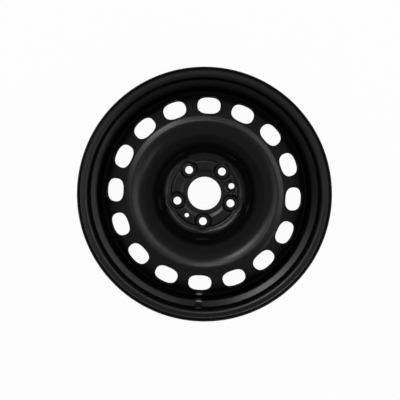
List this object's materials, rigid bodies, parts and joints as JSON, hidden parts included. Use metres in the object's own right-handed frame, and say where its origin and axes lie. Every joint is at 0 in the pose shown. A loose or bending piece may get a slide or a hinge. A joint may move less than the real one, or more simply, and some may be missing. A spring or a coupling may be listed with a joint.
{
  "type": "steel wheel",
  "caption": "Pressed steel car wheel: a rolled drop-centre rim welded to a deep-dished disc with a ring of oval vents, bolt holes with cone seats and a centre bore, in satin black.",
  "frame": {"origin": "on the axle, in the plane where the disc seats on the car's hub", "axes": "+Z along the axle, out of the wheel's outboard face; -Y through the valve hole"},
  "size_m": [0.4404, 0.4402, 0.199],
  "materials": {
    "satin_black": "satin black dip primer, baked",
    "weld_black": "the same paint over rippled weld metal"
  },
  "bodies": {
    "root": {"rim": "satin_black", "disc": "satin_black", "weld_bead_1": "weld_black", "weld_bead_2": "weld_black", "weld_bead_3": "weld_black", "weld_bead_4": "weld_black", "weld_bead_5": "weld_black", "weld_bead_6": "weld_black", "weld_bead_7": "weld_black", "weld_bead_8": "weld_black"}
  },
  "joints": []
}
